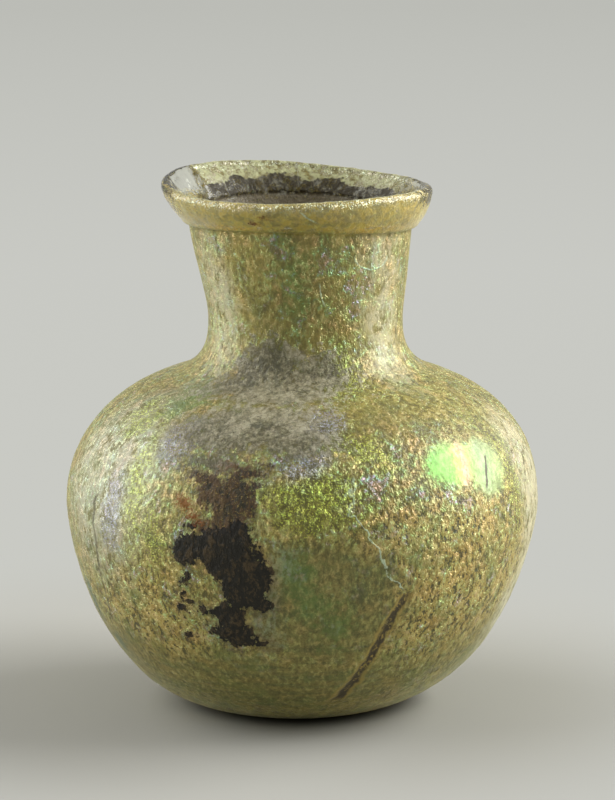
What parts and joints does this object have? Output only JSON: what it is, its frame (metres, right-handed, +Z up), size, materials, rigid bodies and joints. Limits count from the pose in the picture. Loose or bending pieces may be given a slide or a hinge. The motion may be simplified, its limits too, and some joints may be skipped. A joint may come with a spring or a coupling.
{
  "type": "jar",
  "caption": "Free-blown glass jar with a squat round body, a hollow-curved neck and a folded, flaring collar rim, its surface weathered.",
  "frame": {"origin": "under the middle of the belly, level with the flat ring that the jar stands on", "axes": "+Z up through the mouth; -Y is the side that the picture shows, with +X to its right"},
  "size_m": [0.0722, 0.0716, 0.0811],
  "materials": {
    "glass": "satin"
  },
  "bodies": {
    "root": {"jar": "glass"}
  },
  "joints": []
}
